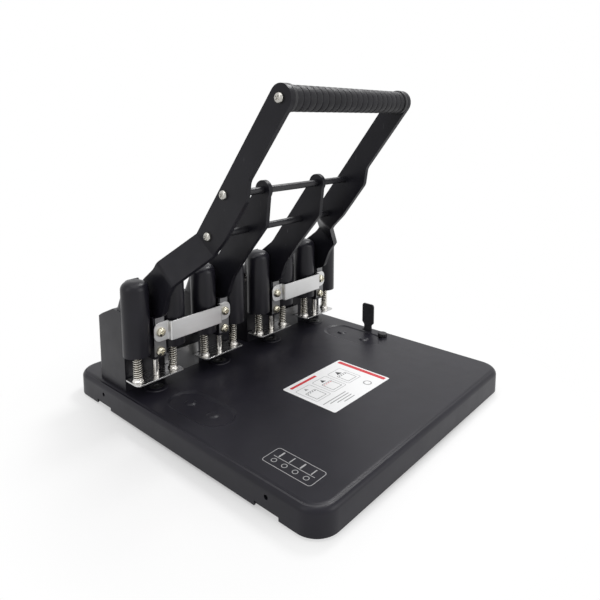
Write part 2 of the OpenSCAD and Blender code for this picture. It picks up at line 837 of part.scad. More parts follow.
// Moulded sleeve with rounded ribs round it
module grip_sleeve() color(black_plastic) lever_frame() {
    half = outer_high_x - arm_thick / 2 - collar_length;
    pitch = 2 * half / rib_count;
    valley = grip_diameter / 2 - rib_depth;
    steps = 6;
    translate([-half, grip_across, grip_height]) rotate([0, 90, 0]) rotate_extrude()
        polygon(concat(
            [[core_diameter / 2 + fit_gap, 0]],
            [for (k = [0 : rib_count - 1], j = [0 : steps - 1])
                [valley + rib_depth * pow(sin(180 * (j + 0.5) / steps), 0.7),
                    pitch * (k + (j + 0.5) / steps)]],
            [[core_diameter / 2 + fit_gap, 2 * half]]
        ));
}

module grip_collars() color(black_plastic) lever_frame() {
    face = outer_high_x - arm_thick / 2;
    for (side = [-1, 1])
        translate([side * face, grip_across, grip_height]) rotate([0, -90 * side, 0]) rotate_extrude()
            polygon(rounded([
                [core_diameter / 2 + fit_gap, 0, 0], [collar_diameter / 2, 0, 1],
                [collar_diameter / 2, collar_length, 1], [core_diameter / 2 + fit_gap, collar_length, 0]
            ]));
}

module lever_screws() color(yellow_zinc) lever_frame() {
    for (side = [-1, 1], at = [upper_rod_at, lower_rod_at, [grip_across, grip_height]])
        translate([side * (outer_high_x + arm_thick / 2), at.x, at.y]) rotate([0, 90 * side, 0])
            pan_screw(screw_head, screw_head_height, lever_screw_shank, lever_screw_length);
}

module crosshead(i) color(black_casting) translate([unit_x(i), 0, 0]) difference() {
    union() {
        block(-head_half, head_half, head_front, head_rear, head_low, wing_high);
        block(-head_half, head_half, head_front, head_front + tower_depth, head_low, head_high);
        block(-post_offset, post_offset, punch_y - wing_half, punch_y + wing_half, wing_low, wing_high);
        for (x = [-post_offset, post_offset])
            rod_z(x, punch_y, wing_low, wing_high, 2 * head_boss_radius);
    }
    for (x = [-post_offset, post_offset])
        rod_z(x, punch_y, wing_low - over, wing_high + over, post_diameter + 2 * fit_gap);
    rod_z(0, punch_y, head_low - over, pin_seat, pin_diameter + 2 * fit_gap);
    rod_y(0, strap_z, head_front - over, head_front + tower_depth + over, screw_shank + 2 * fit_gap);
    rod_y(0, pin_screw_z, head_front - over, punch_y, screw_shank + 2 * fit_gap);
}

// Punch pin with a hollow-ground tip
module punch_pin(i) color(bright_steel) translate([unit_x(i), punch_y, 0]) difference() {
    rod_z(0, 0, pin_tip, pin_seat, pin_diameter);
    translate([0, 0, pin_tip - pin_diameter * 0.35]) sphere(d = pin_diameter * 0.95);
}

module front_strip(i) color(dull_steel) translate([unit_x(i), 0, 0]) difference() {
    union() {
        block(-strip_width / 2, strip_width / 2, head_front - strip_thick, head_front, strip_low, strap_z);
        block(-strip_narrow / 2, strip_narrow / 2, head_front - strip_thick, head_front,
            strip_low, head_high);
    }
    for (z = [strap_z, pin_screw_z])
        rod_y(0, z, head_front - strip_thick - over, head_front + over, screw_shank + 2 * run_gap);
}

// Strap with a tab at each end on a crosshead, stepped forward past the columns between
module strap(first) color(zinc) {
    a = unit_x(first);
    b = unit_x(first + 1);
    back = strap_front + strap_thick;
    out = strap_front - strap_step;
    bend = 0.8;
    outer = bend + strap_thick;
    difference() {
        intersection() {
            upwards(strap_z - strap_height / 2, strap_z + strap_height / 2) polygon(rounded([
                [a - tab_reach, strap_front, 0], [a + step_at, strap_front, bend],
                [a + step_at, out, outer], [b - step_at, out, outer],
                [b - step_at, strap_front, bend], [b + tab_reach, strap_front, 0],
                [b + tab_reach, back, 0], [b - step_at - strap_thick, back, outer],
                [b - step_at - strap_thick, out + strap_thick, bend],
                [a + step_at + strap_thick, out + strap_thick, bend],
                [a + step_at + strap_thick, back, outer], [a - tab_reach, back, 0]
            ]));
            along_y(out - over, back + over) polygon(rounded([
                [a - tab_reach, strap_z - strap_height / 2, tab_corner],
                [b + tab_reach, strap_z - strap_height / 2, tab_corner],
                [b + tab_reach, strap_z + strap_height / 2, tab_corner],
                [a - tab_reach, strap_z + strap_height / 2, tab_corner]
            ]));
        }
        for (x = [a, b])
            rod_y(x, strap_z, out - over, back + over, screw_shank + 2 * run_gap);
    }
}

// A pan-head screw into a crosshead's front, its head seated at a given depth
module front_screw(x, z, seat, length) {
    translate([x, seat, z]) rotate([90, 0, 0])
        pan_screw(screw_head, screw_head_height, screw_shank, length);
}

module strap_screws(first) color(yellow_zinc) {
    for (i = [first, first + 1])
        front_screw(unit_x(i), strap_z, strap_front, strip_thick + strap_thick + tower_depth - room);
}

module pin_screws(first) color(yellow_zinc) {
    for (i = [first, first + 1])
        front_screw(unit_x(i), pin_screw_z, head_front - strip_thick,
            strip_thick + punch_y - pin_diameter / 2 - head_front - fit_gap);
}

// Middle line of a spring: a helix with a straight lead of one wire at each end
function helix_point(k) =
    let (turn = 360 * k / rings_per_turn)
    [spring_radius * cos(turn), spring_radius * sin(turn),
        spring_low + (spring_high - spring_low) * k / (spring_turns * rings_per_turn)];

function spring_line() =
    let (count = spring_turns * rings_per_turn)
    let (points = [for (k = [0 : count]) helix_point(k)])
    concat(
        [points[0] - [0, spring_wire, 0]],
        points,
        [points[count] + [0, spring_wire, 0]]
    );

// Ring of the wire's section at point k of the line
function wire_ring(line, k) =
    let (last = len(line) - 1)
    let (ahead = direction(line[min(k + 1, last)] - line[max(k - 1, 0)]))
    let (out = [line[k].x, line[k].y, 0])
    let (side = direction(out - ahead * (out * ahead)))
    let (up = cross(ahead, side))
    [for (j = [0 : tube_sides - 1])
        line[k] + spring_wire / 2 * (side * cos(360 * j / tube_sides) + up * sin(360 * j / tube_sides))];

// Least gap between one turn and the next, measured on the rings' own points
function spring_gap(rings) =
    let (count = len(rings))
    min([for (k = [1 : count - rings_per_turn - 2], a = rings[k], b = rings[k + rings_per_turn])
        norm(a - b)]);

module return_spring() {
    line = spring_line();
    count = len(line);
    rings = [for (k = [0 : count - 1]) wire_ring(line, k)];
    echo(least_gap_between_turns = spring_gap(rings));
    polyhedron(
        points = [for (ring = rings) each ring],
        faces = concat(
            [for (j = [1 : tube_sides - 2]) [0, j, j + 1]],
            [for (k = [0 : count - 2], j = [0 : tube_sides - 1])
                let (a = k * tube_sides + j)
                let (b = k * tube_sides + (j + 1) % tube_sides)
                each [[a, a + tube_sides, b], [b, a + tube_sides, b + tube_sides]]],
            [for (j = [1 : tube_sides - 2])
                [(count - 1) * tube_sides, (count - 1) * tube_sides + j + 1, (count - 1) * tube_sides + j]]
        ));
}

module return_springs(i) color(bright_steel) {
    for (x = [-post_offset, post_offset])
        translate([unit_x(i) + x, punch_y, 0]) return_spring();
}

base_pan();
chip_tray();
rubber_feet();
die_bushes();
punch_housing(1);  // punch_housing_1
punch_housing(2);  // punch_housing_2
punch_housing(3);  // punch_housing_3
punch_housing(4);  // punch_housing_4
pivot_pin(1);  // pivot_pin_1
pivot_pin(2);  // pivot_pin_2
pivot_pin(3);  // pivot_pin_3
pivot_pin(4);  // pivot_pin_4
stripper_plate(1);  // stripper_plate_1
stripper_plate(2);  // stripper_plate_2
stripper_plate(3);  // stripper_plate_3
stripper_plate(4);  // stripper_plate_4
guide_posts(1);  // guide_posts_1
guide_posts(2);  // guide_posts_2
guide_posts(3);  // guide_posts_3
guide_posts(4);  // guide_posts_4
post_nuts();
housing_bolts();
paper_stop(-1);  // paper_stop_left
paper_stop(1);  // paper_stop_right
stop_screws();
side_guide();
guide_knob();
lever_arm_outer(-1);  // lever_arm_outer_left
lever_arm_inner(-1);  // lever_arm_inner_left
lever_arm_inner(1);  // lever_arm_inner_right
lever_arm_outer(1);  // lever_arm_outer_right
upper_rod();
lower_rod();
grip_core();
grip_sleeve();
grip_collars();
lever_screws();
crosshead(1);  // crosshead_1
crosshead(2);  // crosshead_2
crosshead(3);  // crosshead_3
crosshead(4);  // crosshead_4
punch_pin(1);  // punch_pin_1
punch_pin(2);  // punch_pin_2
punch_pin(3);  // punch_pin_3
punch_pin(4);  // punch_pin_4
front_strip(1);  // front_strip_1
front_strip(2);  // front_strip_2
front_strip(3);  // front_strip_3
front_strip(4);  // front_strip_4
strap(1);  // strap_left
strap(3);  // strap_right
strap_screws(1);  // strap_screws_left
strap_screws(3);  // strap_screws_right
pin_screws(1);  // pin_screws_left
pin_screws(3);  // pin_screws_right
return_springs(1);  // return_springs_1
return_springs(2);  // return_springs_2
return_springs(3);  // return_springs_3
return_springs(4);  // return_springs_4
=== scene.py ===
"""Four-hole punch: finishes, wound springs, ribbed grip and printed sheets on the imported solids.

Lengths in the classes are millimetres unless a name ends in _m; meshes are built in metres in the
part's own frame: origin on the floor under the table, +X to the user's right, +Y back, +Z up.
"""

import logging
import math
from dataclasses import dataclass, field
from enum import Enum, IntEnum

import bmesh
import bpy
import numpy as np
from mathutils import Matrix, Vector


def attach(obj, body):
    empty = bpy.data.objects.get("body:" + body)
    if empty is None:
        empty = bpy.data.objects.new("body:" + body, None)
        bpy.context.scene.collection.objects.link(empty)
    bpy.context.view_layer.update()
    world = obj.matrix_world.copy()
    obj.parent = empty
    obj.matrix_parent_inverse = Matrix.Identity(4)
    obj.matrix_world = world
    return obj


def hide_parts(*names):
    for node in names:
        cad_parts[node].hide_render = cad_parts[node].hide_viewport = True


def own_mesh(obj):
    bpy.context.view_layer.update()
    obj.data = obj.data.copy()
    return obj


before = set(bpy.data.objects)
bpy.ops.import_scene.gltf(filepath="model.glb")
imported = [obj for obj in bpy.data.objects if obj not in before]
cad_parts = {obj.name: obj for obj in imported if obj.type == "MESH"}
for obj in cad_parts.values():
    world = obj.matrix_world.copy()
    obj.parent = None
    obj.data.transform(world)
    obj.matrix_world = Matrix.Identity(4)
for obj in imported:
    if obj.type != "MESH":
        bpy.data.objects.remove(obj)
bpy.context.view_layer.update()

MM = 0.001
TABLE_HEIGHT = 25.5
PAIRS = {"left": (1, 2), "right": (3, 4)}
LOG = logging.getLogger("punch")

Pair = tuple[float, float]
Triple = tuple[float, float, float]
Colour = tuple[float, float, float]
Socket = bpy.types.NodeSocket

WHITE = (1.0, 1.0, 1.0, 1.0)
FULL = (0.0, 1.0)
# Band in which most values of a noise lie
NOISE_CORE = (0.3, 0.7)
# Rays that are to see the plain white surroundings
SEEING_RAYS = ("Is Camera Ray", "Is Glossy Ray", "Is Transmission Ray")
# Numbers of a Mix node's colour sockets, whose names its other sockets have too
MIX_FIRST, MIX_SECOND, MIX_RESULT = 6, 7, 2


class Grain(Enum):
    """Way the rolling or grinding marks of a metal run."""

    ALONG_X = (14.0, 900.0, 900.0)
    ALONG_Z = (900.0, 900.0, 14.0)
    NONE = (260.0, 260.0, 260.0)


class Body(Enum):
    """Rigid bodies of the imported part."""

    BASE = "base"
    TRAY = "chip_tray"
    GUIDE = "side_guide"
    KNOB = "lock_knob"
    LEVER = "lever"
    LEFT = "punches_left"
    RIGHT = "punches_right"


def preset(node: bpy.types.Node, inputs: dict[str, object]) -> None:
    """Sets a node's unlinked inputs by their names."""
    for name, value in inputs.items():
        node.inputs[name].default_value = value


class Nodes:
    """A node tree of a material or a world, with short ways to add to it."""

    def __init__(self, tree: bpy.types.NodeTree) -> None:
        """Takes a tree and empties it."""
        self.tree = tree
        self.tree.nodes.clear()

    def add(self, kind: str, inputs: dict[str, object] | None = None,
            **settings: object) -> bpy.types.Node:
        """Adds a node.

        Args:
            kind: The node's Blender type.
            inputs: Values of its unlinked inputs by name.
            settings: Properties to set on it.

        Returns:
            The new node.
        """
        node = self.tree.nodes.new(kind)
        for key, value in settings.items():
            setattr(node, key, value)
        preset(node, inputs or {})
        return node

    def join(self, source: Socket, target: Socket) -> None:
        """Links two sockets."""
        self.tree.links.new(source, target)

    def math(self, operation: str, first: Socket, second: Socket) -> Socket:
        """Combines two values.

        Args:
            operation: Blender's name for the calculation.
            first: First value.
            second: Second value.

        Returns:
            The result.
        """
        node = self.add("ShaderNodeMath", operation=operation)
        self.join(first, node.inputs[0])
        self.join(second, node.inputs[1])
        return node.outputs["Value"]

    def any_ray(self, kinds: tuple[str, ...]) -> Socket:
        """One for a ray of any of the kinds and nought for others.

        Args:
            kinds: Names of a Light Path node's outputs.

        Returns:
            The largest of those outputs.
        """
        rays = self.add("ShaderNodeLightPath").outputs
        share = rays[kinds[0]]
        for kind in kinds[1:]:
            share = self.math("MAXIMUM", share, rays[kind])
        return share

    def mixed(self, share: Socket, first: Socket, second: Socket) -> Socket:
        """Mix of two shaders.

        Args:
            share: Share of the second one.
            first: First shader.
            second: Second shader.

        Returns:
            The mixed shader.
        """
        node = self.add("ShaderNodeMixShader")
        self.join(share, node.inputs["Fac"])
        self.join(first, node.inputs[1])
        self.join(second, node.inputs[2])
        return node.outputs["Shader"]


class Graph(Nodes):
    """A material's nodes round a Principled shader, on the object's own coordinates."""

    def __init__(self, name: str) -> None:
        """Starts a material.

        Args:
            name: The material's name.
        """
        self.material = bpy.data.materials.new(name)
        self.material.use_nodes = True
        super().__init__(self.material.node_tree)
        self.shader = self.add("ShaderNodeBsdfPrincipled")
        self.output = self.add("ShaderNodeOutputMaterial")
        self.join(self.shader.outputs["BSDF"], self.output.inputs["Surface"])
        self.place = self.add("ShaderNodeTexCoord").outputs["Object"]

    def feed(self, name: str, source: Socket) -> None:
        """Links a socket to the shader's input of that name."""
        self.join(source, self.shader.inputs[name])

    def stretched(self, scale: Triple, turn: Triple = (0.0, 0.0, 0.0)) -> Socket:
        """Object coordinates scaled on each axis.

        Args:
            scale: Factor on each axis.
            turn: Turn about each axis, in radians.

        Returns:
            The mapped vector.
        """
        mapping = self.add("ShaderNodeMapping", {"Scale": scale, "Rotation": turn})
        self.join(self.place, mapping.inputs["Vector"])
        return mapping.outputs["Vector"]

    def noise(self, scale: float, detail: float = 2.0, vector: Socket | None = None) -> Socket:
        """Fractal noise.

        Args:
            scale: Noise cells in a unit of the coordinates.
            detail: Octaves.
            vector: Coordinates to read, or None for the object's.

        Returns:
            The noise's factor, near a half on average.
        """
        node = self.add("ShaderNodeTexNoise", {"Scale": scale, "Detail": detail})
        self.join(vector or self.place, node.inputs["Vector"])
        return node.outputs["Fac"]

    def band(self, value: Socket, source: Pair, target: Pair) -> Socket:
        """Maps one band of a value on to another one, clamped.

        Args:
            value: Value to map.
            source: Start and end of its band.
            target: Results at the start and the end.

        Returns:
            The mapped value.
        """
        names = ("From Min", "From Max", "To Min", "To Max")
        node = self.add("ShaderNodeMapRange", dict(zip(names, (*source, *target))), clamp=True)
        self.join(value, node.inputs["Value"])
        return node.outputs["Result"]

    def blend(self, share: Socket, first: Colour | Socket, second: Colour) -> Socket:
        """Mix of two colours.

        Args:
            share: Share of the second one.
            first: First colour, fixed or from a socket.
            second: Second colour.

        Returns:
            The mixed colour.
        """
        node = self.add("ShaderNodeMix", data_type="RGBA")
        self.join(share, node.inputs["Factor"])
        if isinstance(first, Socket):
            self.join(first, node.inputs[MIX_FIRST])
        else:
            node.inputs[MIX_FIRST].default_value = (*first, 1.0)
        node.inputs[MIX_SECOND].default_value = (*second, 1.0)
        return node.outputs[MIX_RESULT]

    def bump(self, height: Socket, strength: float, depth: float) -> None:
        """Bumps the shader's normal.

        Args:
            height: Height field.
            strength: Share of the bump that shows.
            depth: Depth of the field's full range.
        """
        node = self.add("ShaderNodeBump", {"Strength": strength, "Distance": depth * MM})
        self.join(height, node.inputs["Height"])
        self.feed("Normal", node.outputs["Normal"])


def scaled(colour: Colour, factor: float) -> Colour:
    """The colour with every channel times the factor."""
    return (colour[0] * factor, colour[1] * factor, colour[2] * factor)


def around(middle: float, spread: float) -> Pair:
    """The band that reaches as far below the middle as above it."""
    return (middle - spread, middle + spread)


@dataclass(frozen=True)
class Coating:
    """Black coat, paint or moulded skin with fine grain, soft mottling and light scuffs."""

    name: str
    tint: Colour
    roughness: float
    specular: float
    grain_scale: float
    grain_depth: float
    spread: float = 0.08
    mottle: float = 0.25
    scuffs: float = 0.0
    scuff_tint: Colour = (0.10, 0.10, 0.105)
    scuff_stretch: Triple = (60.0, 520.0, 60.0)
    scuff_turn: Triple = (0.5, 0.3, 0.9)
    scuff_band: Pair = (0.70, 0.76)
    patch_scale: float = 22.0
    patch_band: Pair = (0.5, 0.62)
    mottle_scale: float = 34.0
    sheen_scale: float = 75.0
    octaves: float = 3.0
    grain_share: float = 0.6

    def make(self) -> bpy.types.Material:
        """Builds the material.

        Returns:
            Noise at two scales turns the tint lighter and darker and spreads the roughness, a fine
            noise bumps it, and long thin noise streaks that pass a threshold become scuffs.
        """
        graph = Graph(self.name)
        preset(graph.shader, {"Specular IOR Level": self.specular})
        broad = graph.band(graph.noise(self.mottle_scale, self.octaves), NOISE_CORE, FULL)
        colour = graph.blend(broad, scaled(self.tint, 1 - self.mottle),
                             scaled(self.tint, 1 + self.mottle))
        if self.scuffs > 0:
            streaks = graph.noise(1.0, vector=graph.stretched(self.scuff_stretch, self.scuff_turn))
            marks = graph.band(streaks, self.scuff_band, (0.0, self.scuffs))
            patches = graph.band(graph.noise(self.patch_scale, 1.0), self.patch_band, FULL)
            colour = graph.blend(graph.math("MULTIPLY", marks, patches), colour, self.scuff_tint)
        sheen = graph.noise(self.sheen_scale, self.octaves)
        graph.feed("Base Color", colour)
        graph.feed("Roughness", graph.band(sheen, NOISE_CORE, around(self.roughness, self.spread)))
        graph.bump(graph.noise(self.grain_scale), self.grain_share, self.grain_depth)
        return graph.material


@dataclass(frozen=True)
class Metal:
    """Bare or plated metal with rolling marks and a faint tarnish."""

    name: str
    tint: Colour
    roughness: float
    grain: Grain
    spread: float = 0.1
    tarnish: Colour = (0.45, 0.42, 0.36)
    tarnish_share: float = 0.25
    tarnish_scale: float = 95.0
    tarnish_band: Pair = (0.45, 0.75)
    octaves: float = 3.0
    mark_band: Pair = (0.25, 0.75)
    mark_share: float = 0.25
    mark_depth: float = 0.03

    def make(self) -> bpy.types.Material:
        """Builds the material.

        Returns:
            Noise drawn out along the grain spreads the roughness and bumps the metal, and a broad
            noise mixes in the tarnish.
        """
        graph = Graph(self.name)
        preset(graph.shader, {"Metallic": 1.0})
        marks = graph.noise(1.0, self.octaves, graph.stretched(self.grain.value))
        stain = graph.band(graph.noise(self.tarnish_scale, self.octaves), self.tarnish_band,
                           (0.0, self.tarnish_share))
        rough = graph.band(marks, self.mark_band, around(self.roughness, self.spread))
        graph.feed("Base Color", graph.blend(stain, self.tint, self.tarnish))
        graph.feed("Roughness", rough)
        graph.bump(marks, self.mark_share, self.mark_depth)
        return graph.material


@dataclass(frozen=True)
class Print:
    """Inked film: its colours are in the mesh's own colour attribute."""

    name: str
    roughness: float
    spread: float = 0.08
    sheen_scale: float = 140.0
    speck_tint: Colour = (0.35, 0.35, 0.36)
    speck_share: float = 0.06
    speck_scale: float = 900.0
    speck_band: Pair = (0.35, 0.75)
    attribute: str = "ink"

    def make(self) -> bpy.types.Material:
        """Builds the material.

        Returns:
            The attribute's colour, dulled a little by a fine noise as ink on film is.
        """
        graph = Graph(self.name)
        ink = graph.add("ShaderNodeAttribute", attribute_name=self.attribute).outputs["Color"]
        specks = graph.band(graph.noise(self.speck_scale), self.speck_band, (0.0, self.speck_share))
        rough = graph.band(graph.noise(self.sheen_scale), NOISE_CORE,
                           around(self.roughness, self.spread))
        graph.feed("Base Color", graph.blend(specks, ink, self.speck_tint))
        graph.feed("Roughness", rough)
        return graph.material


Finish = Coating | Metal | Print


class Finishes:
    """All the finishes of the punch, each made once."""

    TABLE = Coating("table_powder_coat", (0.0110, 0.0103, 0.0155), roughness=0.37, specular=0.24,
                    grain_scale=1500.0, grain_depth=0.012, spread=0.03, mottle=0.12)
    CASTING = Coating("casting_black_coat", (0.0095, 0.0090, 0.0130), roughness=0.34,
                      specular=0.25, grain_scale=900.0, grain_depth=0.03, spread=0.04, mottle=0.18)
    ARM = Coating("arm_black_paint", (0.0085, 0.0082, 0.0115), roughness=0.36, specular=0.18,
                  grain_scale=1200.0, grain_depth=0.04, mottle=0.18, scuffs=0.75)
    ROD = Coating("rod_black_oxide", (0.0130, 0.0128, 0.0155), roughness=0.36, specular=0.36,
                  grain_scale=1600.0, grain_depth=0.03)
    GRIP = Coating("grip_soft_plastic", (0.0105, 0.0102, 0.0128), roughness=0.50, specular=0.20,
                   grain_scale=2400.0, grain_depth=0.03, mottle=0.15)
    PLASTIC = Coating("moulded_black_plastic", (0.0150, 0.0148, 0.0172), roughness=0.5,
                      specular=0.36, grain_scale=1800.0, grain_depth=0.05)
    GUIDE = Coating("guide_grey_paint", (0.040, 0.041, 0.045), roughness=0.45, specular=0.30,
                    grain_scale=1500.0, grain_depth=0.02, mottle=0.12)
    RUBBER = Coating("foot_rubber", (0.016, 0.016, 0.016), roughness=0.8, specular=0.3,
                     grain_scale=2600.0, grain_depth=0.08)
    STRAP = Metal("strap_satin_zinc", (0.63, 0.63, 0.63), roughness=0.40, grain=Grain.ALONG_X,
                  tarnish_share=0.10)
    PLATE = Metal("plate_bright_zinc", (0.60, 0.60, 0.60), roughness=0.26, grain=Grain.ALONG_X)
    STRIP = Metal("strip_grey_steel", (0.20, 0.20, 0.205), roughness=0.44, grain=Grain.ALONG_Z,
                  tarnish=(0.12, 0.12, 0.12))
    BRIGHT = Metal("ground_steel", (0.72, 0.70, 0.67), roughness=0.20, grain=Grain.NONE,
                   tarnish=(0.55, 0.47, 0.36))
    SPRING = Metal("spring_wire_steel", (0.74, 0.72, 0.66), roughness=0.24, grain=Grain.NONE,
                   tarnish=(0.58, 0.50, 0.36))
    SCREW = Metal("screw_yellow_zinc", (0.58, 0.55, 0.45), roughness=0.22, grain=Grain.NONE,
                  tarnish=(0.46, 0.42, 0.27))
    LEVER_SCREW = Metal("screw_white_zinc", (0.46, 0.45, 0.42), roughness=0.22, grain=Grain.NONE,
                        tarnish=(0.34, 0.32, 0.26))
    STOP = Metal("stop_grey_steel", (0.24, 0.24, 0.245), roughness=0.36, grain=Grain.ALONG_X,
                 tarnish=(0.20, 0.20, 0.20))
    # Posts tinted far darker than ground steel is: painted shade, so that the gaps between the
    # springs' coils look dark
    POST = Metal("post_steel_painted_coil_shade", (0.24, 0.22, 0.19), roughness=0.18, grain=Grain.NONE,
                 tarnish=(0.18, 0.15, 0.11))
    DULL = Metal("dull_steel", (0.24, 0.24, 0.245), roughness=0.42, grain=Grain.NONE,
                 tarnish=(0.13, 0.13, 0.13))
    FILM = Print("sticker_film", roughness=0.4)
    INK = Print("screen_print", roughness=0.5)

    def __init__(self) -> None:
        """Starts with nothing made."""
        self.made: dict[str, bpy.types.Material] = {}

    def of(self, finish: Finish) -> bpy.types.Material:
        """Makes a finish's material at its first use.

        Args:
            finish: The finish.

        Returns:
            Its one material.
        """
        if finish.name not in self.made:
            self.made[finish.name] = finish.make()
        return self.made[finish.name]

    def dress(self, obj: bpy.types.Object, finish: Finish) -> None:
        """Gives all of a mesh object's faces one finish."""
        obj.data.materials.clear()
        obj.data.materials.append(self.of(finish))


FINISHES = Finishes()


def new_object(name: str, mesh: bpy.types.Mesh) -> bpy.types.Object:
    """Links a mesh to the scene at the origin.

    Args:
        name: Object name.
        mesh: Its mesh.

    Returns:
        The object.
    """
    obj = bpy.data.objects.new(name, mesh)
    bpy.context.scene.collection.objects.link(obj)
    return obj


def mesh_points(mesh: bpy.types.Mesh) -> np.ndarray:
    """Reads a mesh's points.

    Args:
        mesh: Mesh in metres.

    Returns:
        Array of its points, in millimetres.
    """
    points = np.empty(len(mesh.vertices) * 3, np.float32)
    mesh.vertices.foreach_get("co", points)
    return points.reshape(-1, 3) / MM


def node_box(node: str) -> np.ndarray:
    """The least and the greatest corner of a CAD solid, in millimetres."""
    points = mesh_points(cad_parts[node].data)
    return np.stack([points.min(axis=0), points.max(axis=0)]).astype(float)


def shade(mesh: bpy.types.Mesh, degrees: float) -> None:
    """Shades a mesh smooth up to an angle between faces.

    Args:
        mesh: Mesh to shade.
        degrees: Edges with a larger angle stay sharp.
    """
    mesh.polygons.foreach_set("use_smooth", np.ones(len(mesh.polygons), bool))
    mesh.set_sharp_from_angle(angle=math.radians(degrees))
    mesh.update()


def row_places(count: int, pitch: float) -> np.ndarray:
    """Places of a row of equal steps about its middle."""
    return (np.arange(count) - (count - 1) / 2) * pitch


def grid_faces(rows: int, columns: int, first: int = 0) -> np.ndarray:
    """Quads of a grid whose columns close into a ring.

    Args:
        rows: Number of rings.
        columns: Points in a ring.
        first: Number of the grid's first point.

    Returns:
        Array of (rows - 1) * columns quads: point k of a ring, the next one, and the two above.
    """
    low = first + np.arange(rows - 1)[:, None] * columns
    high = low + columns
    k = np.arange(columns)[None, :]
    after = (k + 1) % columns
    return np.stack([low + k, low + after, high + after, high + k], -1).reshape(-1, 4)


def tube_mesh(name: str, bundles: list[np.ndarray], degrees: float) -> bpy.types.Mesh:
    """Mesh of closed tubes, each given by its rings.

    A tube is a grid of points (ring, place in the ring); quads join neighbouring rings and one flat
    face closes each end.

    Args:
        name: Mesh name.
        bundles: Arrays of shape (rings, places, 3), in metres.
        degrees: Edges with a larger angle stay sharp.

    Returns:
        The mesh, faces outwards.
    """
    faces: list[list[int]] = []
    first = 0
    for rings in bundles:
        rows, columns = rings.shape[:2]
        faces += grid_faces(rows, columns, first).tolist()
        faces.append((first + np.arange(columns)[::-1]).tolist())
        faces.append((first + (rows - 1) * columns + np.arange(columns)).tolist())
        first += rows * columns
    mesh = bpy.data.meshes.new(name)
    mesh.from_pydata(np.concatenate([b.reshape(-1, 3) for b in bundles]).tolist(), [], faces)
    work = bmesh.new()
    work.from_mesh(mesh)
    bmesh.ops.recalc_face_normals(work, faces=work.faces)
    work.to_mesh(mesh)
    work.free()
    shade(mesh, degrees)
    return mesh


@dataclass
class Skin:
    """A CAD solid shown by a merged copy with eased edges."""

    node: str
    body: Body
    finish: Finish
    ease: float = 0.4
    smooth: float = 32.0
    weld: float = 0.002
    flat: float = 0.6
    ease_segments: int = 2

    def form(self, mesh: bpy.types.Mesh) -> None:
        """Leaves the copy's form as it is; a skin with a form of its own changes it here."""

    def build(self) -> bpy.types.Object:
        """Copies the solid's mesh, merges its loose triangles and eases its edges.

        Returns:
            The copy, which stands for the solid.
        """
        name = f"{self.node}_skin"
        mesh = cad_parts[self.node].data.copy()
        mesh.name = name
        if "custom_normal" in mesh.attributes:
            mesh.attributes.remove(mesh.attributes["custom_normal"])
        work = bmesh.new()
        work.from_mesh(mesh)
        bmesh.ops.remove_doubles(work, verts=work.verts, dist=self.weld * MM)
        bmesh.ops.dissolve_limit(work, angle_limit=math.radians(self.flat), verts=work.verts,
                                 edges=work.edges)
        work.to_mesh(mesh)
        work.free()
        self.form(mesh)
        shade(mesh, self.smooth)
        obj = new_object(name, mesh)
        if self.ease > 0:
            edge = obj.modifiers.new("eased_edges", "BEVEL")
            edge.width = self.ease * MM
            edge.segments = self.ease_segments
            edge.limit_method = "ANGLE"
            edge.angle_limit = math.radians(self.smooth)
            edge.use_clamp_overlap = True
            edge.harden_normals = True
        FINISHES.dress(obj, self.finish)
        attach(obj, self.body.value)
        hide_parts(self.node)
        return obj


